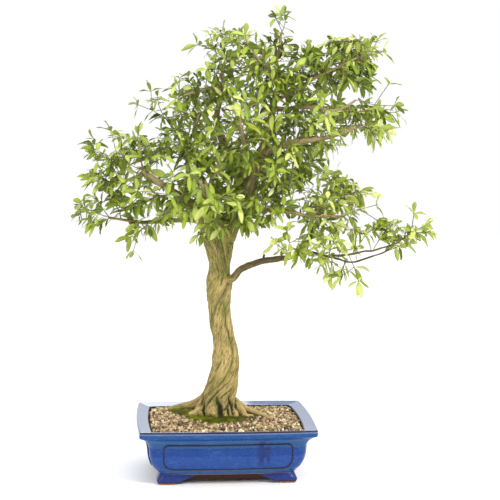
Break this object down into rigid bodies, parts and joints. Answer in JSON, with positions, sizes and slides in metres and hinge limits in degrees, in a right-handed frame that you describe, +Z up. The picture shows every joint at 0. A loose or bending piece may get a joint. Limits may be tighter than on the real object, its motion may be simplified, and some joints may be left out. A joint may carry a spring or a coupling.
{
  "type": "pomegranate bonsai",
  "caption": "Small pomegranate tree with a twisted trunk and leafy spreading limbs, in a glazed oblong pot dressed with gravel and moss.",
  "frame": {"origin": "on the ground, under the middle of the whole plant's box", "axes": "+Z up the trunk, -Y towards the viewer of the picture, +X along the pot's long side to the right"},
  "size_m": [0.6141, 0.3756, 0.8132],
  "materials": {
    "glaze": "glossy cobalt blue glaze, brown where it runs thin over the edges",
    "screen": "matte black mesh",
    "soil": "dark granular soil",
    "gravel": "cream and tan gravel",
    "moss": "soft green moss",
    "bark": "pale ridged bark",
    "leaf": "satin green leaf"
  },
  "bodies": {
    "root": {"pot": "glaze", "drain_screen_left": "screen", "drain_screen_right": "screen", "soil": "soil", "gravel": "gravel", "moss": "moss", "tree": "bark", "spray_01": "leaf", "spray_02": "leaf", "spray_03": "leaf", "spray_04": "leaf", "spray_05": "leaf", "spray_06": "leaf", "spray_07": "leaf", "spray_08": "leaf", "spray_09": "leaf", "spray_10": "leaf", "spray_11": "leaf", "spray_12": "leaf", "spray_13": "leaf", "spray_14": "leaf", "spray_15": "leaf", "spray_16": "leaf", "spray_17": "leaf", "spray_18": "leaf", "spray_19": "leaf", "spray_20": "leaf", "spray_21": "leaf", "spray_22": "leaf", "spray_23": "leaf", "spray_24": "leaf", "spray_25": "leaf", "spray_26": "leaf", "spray_27": "leaf", "spray_28": "leaf", "spray_29": "leaf", "spray_30": "leaf", "spray_31": "leaf", "spray_32": "leaf", "spray_33": "leaf", "spray_34": "leaf", "spray_35": "leaf", "spray_36": "leaf", "spray_37": "leaf", "spray_38": "leaf", "spray_39": "leaf", "spray_40": "leaf", "spray_41": "leaf", "spray_42": "leaf", "spray_43": "leaf", "spray_44": "leaf", "spray_45": "leaf", "spray_46": "leaf", "spray_47": "leaf", "spray_48": "leaf", "spray_49": "leaf"}
  },
  "joints": []
}
